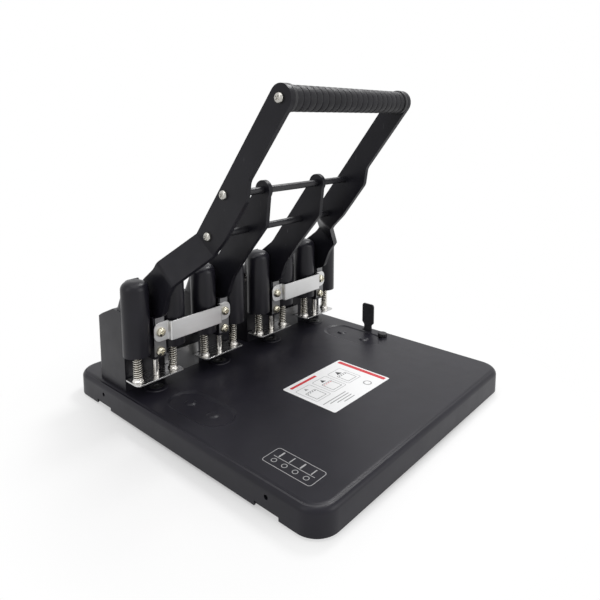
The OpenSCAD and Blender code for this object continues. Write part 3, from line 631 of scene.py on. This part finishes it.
@dataclass
class PanSkin(Skin):
    """The pan's skin: its rim one soft pressed shoulder, its sunk fields as deep as they look."""

    corner: float = 21.0
    table: float = TABLE_HEIGHT
    skirt: float = 19.9
    shoulder: float = 6.6
    steps: tuple[Pair, ...] = ((2.6, 22.5), (4.4, 22.5), (6.0, 25.3))
    slack: float = 0.3
    field_at: Pair = (116.0, 3.0)
    field_reach: float = 20.0
    field_half: float = 19.0
    field_slope: float = 2.0
    field_depth: float = 0.9
    pressed_depth: float = 1.7
    button_reach: float = 16.3
    button_radius: float = 4.5
    button_foot: float = 6.0
    nearly: float = 0.05

    def soften_rim(self, points: np.ndarray) -> None:
        """Lifts the rim's outer points on to a quarter of an ellipse.

        A point's depth is its distance inside the pan's round-cornered outline. Points on the
        outside of the solid's stepped rim, within the shoulder's depth, take the ellipse's height
        there.

        Args:
            points: The skin's points in millimetres, changed in place.
        """
        half = node_box(self.node)[1, :2]
        out = np.abs(points[:, :2]) - (half - self.corner)
        beyond = np.linalg.norm(np.maximum(out, 0.0), axis=1) + np.minimum(out.max(axis=1), 0.0)
        depth = np.clip(self.corner - beyond, 0.0, None)
        steps = np.array([(0.0, self.skirt), *self.steps, (self.shoulder, self.table)])
        outside = points[:, 2] > np.interp(depth, steps[:, 0], steps[:, 1]) - self.slack
        share = np.clip(1 - depth / self.shoulder, 0.0, 1.0)
        height = self.skirt + (self.table - self.skirt) * np.sqrt(1 - share ** 2)
        points[:, 2] = np.where(outside & (depth < self.shoulder), height, points[:, 2])

    def deepening(self, outwards: np.ndarray) -> np.ndarray:
        """Factor on the solid's depth across a field.

        Args:
            outwards: Places across it, from its middle towards the pan's side.

        Returns:
            One at the floor's outer edge, rising evenly to the pressed depth at its inner edge.
        """
        edge = self.field_half - self.field_slope
        share = np.clip((edge - outwards) / (2 * edge), 0.0, 1.0)
        return 1 + (self.pressed_depth / self.field_depth - 1) * share

    def press_fields(self, points: np.ndarray) -> None:
        """Presses the sunk fields deeper towards the table's middle.

        A point's reach is its distance from the field's spine. The slope's foot moves in towards
        the spine as the depth grows, so that the slope keeps its angle, and a button's foot moves
        out.

        Args:
            points: The skin's points in millimetres, changed in place.
        """
        x = np.abs(points[:, 0]) - self.field_at[0]
        y = points[:, 1] - self.field_at[1]
        from_spine = np.stack([x, y - np.clip(y, -self.field_reach, self.field_reach)], -1)
        from_button = np.stack([x, y - np.sign(y) * self.button_reach], -1)
        reach = np.maximum(np.linalg.norm(from_spine, axis=1), self.nearly)
        radius = np.maximum(np.linalg.norm(from_button, axis=1), self.nearly)
        sunk = (self.table - points[:, 2]) / self.field_depth
        inside = (reach < self.field_half) & (sunk > self.nearly) & (sunk < 1 + self.nearly)
        in_button = radius < self.button_radius + self.nearly
        foot = inside & in_button & (sunk > 1 - self.nearly)
        slope = inside & ~in_button
        draw = (self.deepening(x) - 1) * np.clip(self.field_half - reach, 0.0, self.field_slope)
        spread = self.button_foot - self.button_radius
        shift = ((foot * spread / radius)[:, None] * from_button
                 - (slope * draw / reach)[:, None] * from_spine)
        depth = sunk * self.deepening(x + shift[:, 0]) * self.field_depth
        points[:, 0] += np.sign(points[:, 0]) * shift[:, 0]
        points[:, 1] += shift[:, 1]
        points[:, 2] = np.where(slope | foot, self.table - depth, points[:, 2])

    def form(self, mesh: bpy.types.Mesh) -> None:
        """Gives the rim and the fields their drawn forms.

        Args:
            mesh: The skin's mesh, in metres.
        """
        points = mesh_points(mesh)
        self.soften_rim(points)
        self.press_fields(points)
        mesh.vertices.foreach_set("co", (points * MM).astype(np.float32).ravel())
        mesh.update()


@dataclass
class Bare:
    """A CAD solid that shows as it is, with a finish."""

    node: str
    finish: Finish

    def build(self) -> bpy.types.Object:
        """Dresses the solid.

        Returns:
            The CAD node's object.
        """
        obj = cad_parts[self.node]
        FINISHES.dress(obj, self.finish)
        return obj


@dataclass
class ReturnSprings:
    """The two wound springs of one punch head, each round a guide post."""

    unit: int
    joint: str
    wire: float = 0.8
    low: float = 42.65
    high: float = 68.9
    turns: float = 12.0
    dead: float = 0.12
    stroke: float = 15.0
    rings_per_turn: int = 28
    sides: int = 10
    smooth: float = 50.0

    def path(self, post: Pair, radius: float) -> np.ndarray:
        """Middle line of the wire.

        A helix of constant radius whose rise eases in and out, so that the end turns lie closer
        together: the height goes as t less dead times the sine of one full turn over 2 pi.

        Args:
            post: Place of the post.
            radius: Radius of the line about it.

        Returns:
            Points of the line, in millimetres.
        """
        t = np.linspace(0.0, 1.0, int(self.turns * self.rings_per_turn) + 1)
        rise = t - self.dead * np.sin(2 * np.pi * t) / (2 * np.pi)
        angle = 2 * np.pi * self.turns * t
        height = self.low + self.wire / 2 + (self.high - self.low - self.wire) * rise
        across = (post[0] + radius * np.cos(angle), post[1] + radius * np.sin(angle))
        return np.stack([*across, height], -1)

    def rings(self, post: Pair, radius: float) -> np.ndarray:
        """Rings of the wire's round section, square to its middle line.

        Args:
            post: Place of the post.
            radius: Radius of the line about it.

        Returns:
            Points of shape (rings, sides, 3), in metres: the line plus the section's radius along
            the outward normal times a cosine and along the binormal times a sine.
        """
        line = self.path(post, radius)
        ahead = np.gradient(line, axis=0)
        ahead /= np.linalg.norm(ahead, axis=1, keepdims=True)
        out = line - np.array([*post, 0.0])
        out[:, 2] = 0.0
        out -= ahead * np.sum(out * ahead, axis=1, keepdims=True)
        out /= np.linalg.norm(out, axis=1, keepdims=True)
        side = np.cross(ahead, out)
        turn = (2 * np.pi * np.arange(self.sides) / self.sides)[None, :, None]
        section = np.cos(turn) * out[:, None] + np.sin(turn) * side[:, None]
        return (line[:, None] + self.wire / 2 * section) * MM

    def build(self) -> bpy.types.Object:
        """Builds the pair of springs.

        Returns:
            One object with both springs, as wide and as far apart as the solid ones.
        """
        name = f"wound_springs_{self.unit}"
        box = node_box(f"return_springs_{self.unit}")
        x, y = box.mean(axis=0)[:2]
        wide, outside = np.ptp(box, axis=0)[:2]
        apart = wide - outside
        radius = (outside - self.wire) / 2
        wires = [self.rings((x + shift, y), radius) for shift in row_places(2, apart)]
        obj = new_object(name, tube_mesh(name, wires, self.smooth))
        FINISHES.dress(obj, Finishes.SPRING)
        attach(obj, Body.BASE.value)
        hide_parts(f"return_springs_{self.unit}")
        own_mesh(obj)
        return obj


@dataclass
class RibbedGrip:
    """Moulded sleeve of the handle with flat ribs round it."""

    radius: float = 11.0
    rib_depth: float = 0.7
    rib_power: float = 0.25
    ribs: int = 20
    steps: int = 16
    places: int = 72
    smooth: float = 70.0

    def build(self) -> bpy.types.Object:
        """Turns the sleeve's profile about the solid sleeve's axis.

        Returns:
            The sleeve: the radius is the valley's plus the rib's depth times a small power of a
            sine's size, so that ribs are nearly flat and the valleys between them narrow.
        """
        box = node_box("grip_sleeve")
        t = np.linspace(0.0, 1.0, self.ribs * self.steps + 1)
        wave = np.abs(np.sin(np.pi * self.ribs * t)) ** self.rib_power
        radius = self.radius - self.rib_depth + self.rib_depth * wave
        turn = 2 * np.pi * np.arange(self.places) / self.places
        y, z = box.mean(axis=0)[1:]
        points = np.stack(np.broadcast_arrays(
            (box[0, 0] + (box[1, 0] - box[0, 0]) * t)[:, None],
            y + radius[:, None] * np.cos(turn)[None, :],
            z + radius[:, None] * np.sin(turn)[None, :],
        ), -1) * MM
        obj = new_object("ribbed_sleeve", tube_mesh("ribbed_sleeve", [points], self.smooth))
        FINISHES.dress(obj, Finishes.GRIP)
        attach(obj, Body.LEVER.value)
        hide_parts("grip_sleeve")
        return obj


class Ink(Enum):
    """Inks of the printed sheets, in linear light."""

    WHITE = (0.90, 0.90, 0.905)
    RED = (0.62, 0.012, 0.022)
    GREY = (0.32, 0.32, 0.325)
    BLACK = (0.03, 0.03, 0.033)
    SILVER = (0.40, 0.40, 0.405)


class Layer(IntEnum):
    """Layers of a print, counted from the table up."""

    LOW = 1
    MIDDLE = 2
    TOP = 3


def round_outline(centre: Pair, size: Pair, radius: float, corner_points: int = 8) -> np.ndarray:
    """Outline of a rectangle with round corners.

    Args:
        centre: Its middle.
        size: Its width and depth.
        radius: Radius of its corners.
        corner_points: Points on each corner.

    Returns:
        The outline's points: each corner's centre plus the radius at angles over its quarter turn.
    """
    turn = np.linspace(0.0, np.pi / 2, corner_points)
    quarter = np.arange(4)
    signs = np.array([[1, 1], [-1, 1], [-1, -1], [1, -1]], float)
    middle = np.array(centre) + signs * (np.array(size) / 2 - radius)
    angle = turn[None, :] + quarter[:, None] * np.pi / 2
    arc = np.stack([np.cos(angle), np.sin(angle)], -1)
    return (middle[:, None] + radius * arc).reshape(-1, 2)


@dataclass
class PrintedSheet:
    """Flat print on the table: filled and ringed outlines in layers, a hair above each other."""

    name: str
    finish: Print
    lift: float = 0.02
    layer: float = 0.03
    least_radius: float = 0.05
    hair: float = 0.001
    bar_rounding: float = 0.2
    arrow_shape: tuple[Pair, ...] = ((0.0, 0.0), (-0.6, -1.0), (0.6, -1.0))
    points: list[np.ndarray] = field(default_factory=list)
    faces: list[list[int]] = field(default_factory=list)
    inks: list[Ink] = field(default_factory=list)
    count: int = 0

    def at(self, outline: np.ndarray, level: Layer) -> np.ndarray:
        """The flat outline at a layer's height, in metres."""
        height = TABLE_HEIGHT + self.lift + self.layer * level
        return np.concatenate([outline, np.full((len(outline), 1), height)], 1) * MM

    def fill(self, outline: np.ndarray, ink: Ink, level: Layer = Layer.LOW) -> None:
        """Prints a filled outline.

        Args:
            outline: Points against the clock.
            ink: Its colour.
            level: Layer above the table.
        """
        self.points.append(self.at(outline, level))
        self.faces.append((self.count + np.arange(len(outline))).tolist())
        self.inks.append(ink)
        self.count += len(outline)

    def ring(self, outer: np.ndarray, inner: np.ndarray, ink: Ink,
             level: Layer = Layer.LOW) -> None:
        """Prints the band between two outlines of as many points.

        Args:
            outer: Outer outline.
            inner: Inner outline.
            ink: Its colour.
            level: Layer above the table.
        """
        self.points += [self.at(inner, level), self.at(outer, level)]
        quads = grid_faces(2, len(outer), self.count)[:, ::-1].tolist()
        self.faces += quads
        self.inks += [ink] * len(quads)
        self.count += 2 * len(outer)

    def frame_line(self, centre: Pair, size: Pair, radius: float, line: float, ink: Ink,
                   level: Layer = Layer.LOW) -> None:
        """Prints a rounded rectangle as a line.

        Args:
            centre: Its middle.
            size: Its outer width and depth.
            radius: Outer radius of its corners.
            line: The line's width.
            ink: Its colour.
            level: Layer above the table.
        """
        thin = (size[0] - 2 * line, size[1] - 2 * line)
        inner = round_outline(centre, thin, max(radius - line, self.least_radius))
        self.ring(round_outline(centre, size, radius), inner, ink, level)

    def dot(self, centre: Pair, diameter: float, ink: Ink, level: Layer = Layer.MIDDLE) -> None:
        """Prints a round dot."""
        outline = round_outline(centre, (diameter, diameter), diameter / 2 - self.hair)
        self.fill(outline, ink, level)

    def bar(self, centre: Pair, size: Pair, ink: Ink, level: Layer = Layer.MIDDLE) -> None:
        """Prints a bar with barely rounded ends."""
        self.fill(round_outline(centre, size, min(size) * self.bar_rounding), ink, level)

    def arrow(self, tip: Pair, size: float, ink: Ink, level: Layer = Layer.MIDDLE) -> None:
        """Prints a triangle that points away from the user, its tip given."""
        self.fill(np.array(tip) + size * np.array(self.arrow_shape), ink, level)

    def build(self) -> bpy.types.Object:
        """Makes the print's mesh with its inks as a colour attribute on the faces' corners.

        Returns:
            The print, fixed to the base.
        """
        mesh = bpy.data.meshes.new(self.name)
        mesh.from_pydata(np.concatenate(self.points).tolist(), [], self.faces)
        ink = mesh.attributes.new(self.finish.attribute, "FLOAT_COLOR", "CORNER")
        sizes = np.array([len(f) for f in self.faces])
        colours = np.array([[*i.value, 1.0] for i in self.inks], np.float32)
        ink.data.foreach_set("color", np.repeat(colours, sizes, axis=0).ravel())
        mesh.update()
        obj = new_object(self.name, mesh)
        FINISHES.dress(obj, self.finish)
        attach(obj, Body.BASE.value)
        return obj


@dataclass
class PaperSign:
    """Framed sign: a sheet of paper with its row of holes, and an arrow above it."""

    middle: Pair
    hole_ink: Ink
    arrow_ink: Ink
    arrow: float
    outer: Pair = (21.0, 28.0)
    outer_corner: float = 2.0
    paper: Pair = (14.0, 15.0)
    paper_corner: float = 0.6
    paper_drop: float = 3.5
    line: float = 0.5
    holes: int = 4
    hole: float = 1.5
    hole_pitch: float = 3.2
    hole_rise: float = 1.8
    arrow_rise: float = 11.5

    def print_on(self, sheet: PrintedSheet) -> None:
        """Adds the sign to a print.

        Args:
            sheet: The print.
        """
        x, y = self.middle
        sheet.frame_line(self.middle, self.outer, self.outer_corner, self.line, Ink.GREY,
                         Layer.MIDDLE)
        sheet.frame_line((x, y - self.paper_drop), self.paper, self.paper_corner, self.line,
                         Ink.BLACK, Layer.MIDDLE)
        for offset in row_places(self.holes, self.hole_pitch):
            sheet.dot((x + offset, y + self.hole_rise), self.hole, self.hole_ink, Layer.TOP)
        sheet.arrow((x, y + self.arrow_rise), self.arrow, self.arrow_ink, Layer.TOP)


@dataclass
class GuideSticker:
    """White film on the table with plain signs for loading paper."""

    centre: Pair = (2.5, -61.5)
    size: Pair = (90.0, 65.0)
    corner: float = 2.0
    edge_width: float = 5.0
    edge_inset: float = 4.5
    edge_margin: float = 3.0
    head: Pair = (38.0, 3.2)
    head_x: float = -20.0
    head_inset: float = 5.5
    sign_first: Pair = (-30.0, 6.0)
    sign_pitch: float = 24.5
    sign_inks: tuple[tuple[Ink, Ink], ...] = (
        (Ink.BLACK, Ink.GREY), (Ink.RED, Ink.BLACK), (Ink.BLACK, Ink.BLACK))
    arrow: float = 4.0
    lines: int = 4
    line_first: Pair = (-24.0, -15.5)
    line_step: Pair = (3.0, -3.6)
    line: Pair = (34.0, 1.1)
    line_loss: float = 6.0
    ring_at: Pair = (22.0, -21.0)
    ring: Pair = (9.0, 6.4)

    def build(self) -> bpy.types.Object:
        """Lays out the sticker: a red edge and heading, framed signs, grey lines and a ring.

        Returns:
            The sticker.
        """
        sheet = PrintedSheet("guide_sticker", Finishes.FILM)
        x, y = self.centre
        wide, deep = self.size
        sheet.fill(round_outline(self.centre, self.size, self.corner), Ink.WHITE)
        sheet.bar((x + wide / 2 - self.edge_inset, y),
                  (self.edge_width, deep - 2 * self.edge_margin), Ink.RED)
        sheet.bar((x + self.head_x, y + deep / 2 - self.head_inset), self.head, Ink.RED)
        for k, (hole_ink, arrow_ink) in enumerate(self.sign_inks):
            middle = (x + self.sign_first[0] + self.sign_pitch * k, y + self.sign_first[1])
            PaperSign(middle, hole_ink, arrow_ink, self.arrow + k).print_on(sheet)
        for k in range(self.lines):
            place = np.array(self.centre) + self.line_first + k * np.array(self.line_step)
            sheet.bar(tuple(place), (self.line[0] - self.line_loss * k, self.line[1]), Ink.GREY)
        ring_at = (x + self.ring_at[0], y + self.ring_at[1])
        sheet.dot(ring_at, self.ring[0], Ink.GREY)
        sheet.dot(ring_at, self.ring[1], Ink.WHITE, Layer.TOP)
        return sheet.build()


@dataclass
class SizePanel:
    """Grey screen print by the left edge: a framed row of holes with a sheet's edge and marks."""

    centre: Pair = (-124.0, -118.0)
    size: Pair = (21.0, 50.0)
    corner: float = 3.0
    line: float = 0.55
    holes: int = 4
    hole_pitch: float = 11.0
    hole_x: float = -4.5
    hole: float = 5.0
    hole_radius: float = 2.49
    hole_line: float = 0.6
    mark_x: float = 4.5
    mark_length: float = 7.0
    mark_widths: Pair = (1.0, 1.5)
    edge: Pair = (0.6, 42.0)

    def build(self) -> bpy.types.Object:
        """Lays out the panel.

        Returns:
            The print.
        """
        sheet = PrintedSheet("size_panel", Finishes.INK)
        x, y = self.centre
        sheet.frame_line(self.centre, self.size, self.corner, self.line, Ink.SILVER)
        for k, offset in enumerate(row_places(self.holes, self.hole_pitch)):
            sheet.frame_line((x + self.hole_x, y + offset), (self.hole, self.hole),
                             self.hole_radius, self.hole_line, Ink.SILVER)
            sheet.bar((x + self.mark_x, y + offset), (self.mark_length, self.mark_widths[k % 2]),
                      Ink.SILVER, Layer.LOW)
        sheet.bar(self.centre, self.edge, Ink.SILVER, Layer.LOW)
        return sheet.build()


class BaseAssembly:
    """Pan, tray, feet, dies and all that is fixed to them."""

    def build(self) -> list[bpy.types.Object]:
        """Dresses the fixed pieces.

        Returns:
            The shown objects.
        """
        made = [
            PanSkin("base_pan", Body.BASE, Finishes.TABLE, smooth=20.0).build(),
            Skin("chip_tray", Body.TRAY, Finishes.PLASTIC, ease=0.3).build(),
            Skin("rubber_feet", Body.BASE, Finishes.RUBBER, ease=0.3).build(),
            Bare("die_bushes", Finishes.DULL).build(),
            Bare("housing_bolts", Finishes.DULL).build(),
            Skin("post_nuts", Body.BASE, Finishes.BRIGHT, ease=0.35).build(),
            Bare("stop_screws", Finishes.DULL).build(),
        ]
        made += [Skin(f"paper_stop_{side}", Body.BASE, Finishes.STOP, ease=0.3).build()
                 for side in PAIRS]
        for side, units in PAIRS.items():
            for i in units:
                made += self.head(i, f"punches_{side}_slide")
        return made + [GuideSticker().build(), SizePanel().build()]

    def head(self, unit: int, joint: str) -> list[bpy.types.Object]:
        """Dresses the fixed pieces of one punch head.

        Args:
            unit: Number of the head, from the left.
            joint: Joint of its punches, passed to the springs, which do not use it.

        Returns:
            The shown objects.
        """
        return [
            Skin(f"punch_housing_{unit}", Body.BASE, Finishes.CASTING, ease=1.0,
                 smooth=30.0).build(),
            Skin(f"stripper_plate_{unit}", Body.BASE, Finishes.PLATE, ease=0.25).build(),
            Bare(f"pivot_pin_{unit}", Finishes.BRIGHT).build(),
            Bare(f"guide_posts_{unit}", Finishes.POST).build(),
            ReturnSprings(unit, joint).build(),
        ]


class SideGuide:
    """Tab at the right edge and its lock knob."""

    def build(self) -> list[bpy.types.Object]:
        """Dresses the guide.

        Returns:
            The shown objects.
        """
        return [
            Skin("side_guide", Body.GUIDE, Finishes.GUIDE).build(),
            Skin("guide_knob", Body.KNOB, Finishes.PLASTIC, ease=0.2).build(),
        ]


class Lever:
    """Arms, rods and grip that swing together."""

    def build(self) -> list[bpy.types.Object]:
        """Dresses the lever.

        Returns:
            The shown objects.
        """
        arms = [Skin(f"lever_arm_{row}_{side}", Body.LEVER, Finishes.ARM, ease=0.7,
                     smooth=30.0).build()
                for row in ("outer", "inner") for side in PAIRS]
        return arms + [
            Bare("upper_rod", Finishes.ROD).build(),
            Bare("lower_rod", Finishes.ROD).build(),
            Bare("grip_core", Finishes.DULL).build(),
            Skin("grip_collars", Body.LEVER, Finishes.PLASTIC, ease=0.0, smooth=40.0).build(),
            Skin("lever_screws", Body.LEVER, Finishes.LEVER_SCREW, ease=0.15).build(),
            RibbedGrip().build(),
        ]


@dataclass
class PunchPair:
    """Two crossheads tied by a strap, with their punches."""

    side: str
    units: tuple[int, int]
    body: Body

    def build(self) -> list[bpy.types.Object]:
        """Dresses one pair.

        Returns:
            The shown objects.
        """
        made = [
            Skin(f"strap_{self.side}", self.body, Finishes.STRAP, ease=0.25).build(),
            Skin(f"strap_screws_{self.side}", self.body, Finishes.SCREW, ease=0.15).build(),
            Skin(f"pin_screws_{self.side}", self.body, Finishes.SCREW, ease=0.15).build(),
        ]
        for i in self.units:
            made += [
                Skin(f"crosshead_{i}", self.body, Finishes.CASTING, ease=0.5).build(),
                Skin(f"front_strip_{i}", self.body, Finishes.STRIP, ease=0.2).build(),
                Bare(f"punch_pin_{i}", Finishes.BRIGHT).build(),
            ]
        return made


@dataclass(frozen=True)
class SoftBox:
    """A soft lamp, its power in watts."""

    name: str
    place_m: Triple
    aim_m: Triple
    size_m: Pair
    power: float

    def build(self) -> None:
        """Hangs the lamp up, facing its aim."""
        data = bpy.data.lights.new(self.name, "AREA")
        data.energy = self.power
        data.shape = "RECTANGLE"
        data.size, data.size_y = self.size_m
        obj = bpy.data.objects.new(self.name, data)
        place = Vector(self.place_m)
        facing = (Vector(self.aim_m) - place).to_track_quat("-Z", "Y").to_matrix().to_4x4()
        obj.matrix_world = Matrix.Translation(place) @ facing
        bpy.context.scene.collection.objects.link(obj)


@dataclass
class Studio:
    """Pale floor, soft lamps, white surroundings and the camera."""

    eye: Triple = (-412.3, -380.6, 286.6)
    yaw: float = 41.626
    pitch: float = 7.802
    lens: float = 33.35
    sensor: float = 36.0
    shift: float = -0.175
    clip_m: Pair = (0.01, 50.0)
    floor_half_m: float = 6.0
    floor_tint: tuple[float, ...] = (0.95, 0.95, 0.95, 1.0)
    floor_roughness: float = 0.9
    floor_specular: float = 0.1
    shadow_m: Pair = (0.08, 0.30)
    world_light: float = 0.35
    lamps: tuple[SoftBox, ...] = (
        SoftBox("overhead", place_m=(0.66, 0.06, 1.2), aim_m=(0.0, 0.0, 0.0),
                size_m=(0.4, 0.4), power=8.0),
        SoftBox("front_right", place_m=(0.5, -1.65, 0.5), aim_m=(0.0, 0.0, 0.1),
                size_m=(1.0, 1.0), power=8.0),
        SoftBox("above", place_m=(-0.2, -0.3, 1.7), aim_m=(0.0, 0.0, 0.0),
                size_m=(1.6, 1.6), power=11.5),
        SoftBox("left", place_m=(-1.5, 0.1, 0.9), aim_m=(0.0, 0.0, 0.15),
                size_m=(0.5, 1.2), power=3.5),
    )

    def camera(self) -> None:
        """Sets the camera at the photo's angle."""
        data = bpy.data.cameras.new("camera")
        data.sensor_width = self.sensor
        data.lens = self.lens
        data.shift_y = self.shift
        data.clip_start, data.clip_end = self.clip_m
        obj = bpy.data.objects.new("camera", data)
        obj.location = Vector(self.eye) * MM
        obj.rotation_euler = (math.radians(90 - self.pitch), 0.0, math.radians(self.yaw - 90))
        bpy.context.scene.collection.objects.link(obj)
        bpy.context.scene.camera = obj

    def floor(self) -> None:
        """Lays the floor: matt white near the object, for its shadow, plain white further off."""
        half = self.floor_half_m
        corners = [(-half, -half, 0), (half, -half, 0), (half, half, 0), (-half, half, 0)]
        mesh = bpy.data.meshes.new("floor")
        mesh.from_pydata(corners, [], [(0, 1, 2, 3)])
        obj = new_object("floor", mesh)
        graph = Graph("floor_white")
        preset(graph.shader, {"Base Color": self.floor_tint, "Roughness": self.floor_roughness,
                              "Specular IOR Level": self.floor_specular})
        white = graph.add("ShaderNodeEmission", {"Color": WHITE, "Strength": 1.0})
        distance = graph.add("ShaderNodeVectorMath", operation="LENGTH")
        graph.join(graph.place, distance.inputs[0])
        away = graph.band(distance.outputs["Value"], self.shadow_m, FULL)
        share = graph.math("MULTIPLY", away, graph.any_ray(SEEING_RAYS))
        mix = graph.mixed(share, graph.shader.outputs["BSDF"], white.outputs["Emission"])
        graph.join(mix, graph.output.inputs["Surface"])
        mesh.materials.append(graph.material)

    def surroundings(self) -> None:
        """White world for what the camera and glossy rays see, and a softer one for its light."""
        world = bpy.data.worlds.new("studio")
        world.use_nodes = True
        nodes = Nodes(world.node_tree)
        light, seen = (
            nodes.add("ShaderNodeBackground", {"Color": WHITE, "Strength": strength}).outputs[0]
            for strength in (self.world_light, 1.0)
        )
        mix = nodes.mixed(nodes.any_ray(SEEING_RAYS), light, seen)
        nodes.join(mix, nodes.add("ShaderNodeOutputWorld").inputs["Surface"])
        bpy.context.scene.world = world

    def build(self) -> None:
        """Sets the whole studio up."""
        bpy.context.scene.view_settings.view_transform = "Standard"
        self.camera()
        self.floor()
        self.surroundings()
        for lamp in self.lamps:
            lamp.build()


def main() -> None:
    """Builds the studio and every sub-assembly."""
    logging.basicConfig(level=logging.INFO, format="%(name)s: %(message)s")
    Studio().build()
    pairs = [PunchPair(side, units, Body(f"punches_{side}")) for side, units in PAIRS.items()]
    for part in (BaseAssembly(), SideGuide(), Lever(), *pairs):
        for obj in part.build():
            LOG.info("%s: %s, %d faces", type(part).__name__, obj.name, len(obj.data.polygons))


if __name__ == "__main__":
    main()
